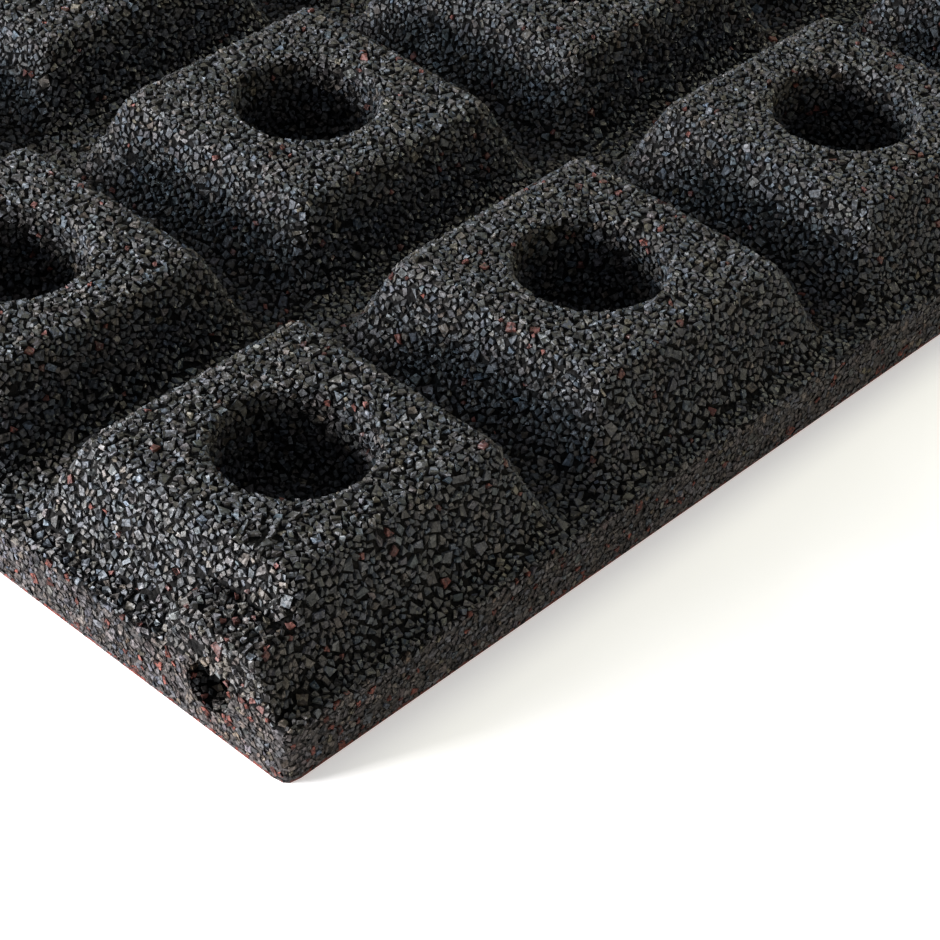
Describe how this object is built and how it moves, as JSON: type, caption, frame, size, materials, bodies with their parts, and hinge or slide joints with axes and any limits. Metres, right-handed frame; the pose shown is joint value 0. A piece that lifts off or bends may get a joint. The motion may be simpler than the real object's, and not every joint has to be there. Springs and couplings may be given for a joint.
{
  "type": "rubber playground tile",
  "caption": "Square moulded granulate rubber tile with a grid of hollow frustum feet on its underside and dowel sockets in two opposite sides.",
  "frame": {"origin": "middle of the wearing face, which lies on the ground", "axes": "+Z out of the side with the feet; X runs between the two sides with dowel sockets, Y along them"},
  "size_m": [0.5, 0.5, 0.05],
  "materials": {
    "rubber": "matt bound granulate, black with a few red grains"
  },
  "bodies": {
    "root": {"rubber_tile": "rubber"}
  },
  "joints": []
}
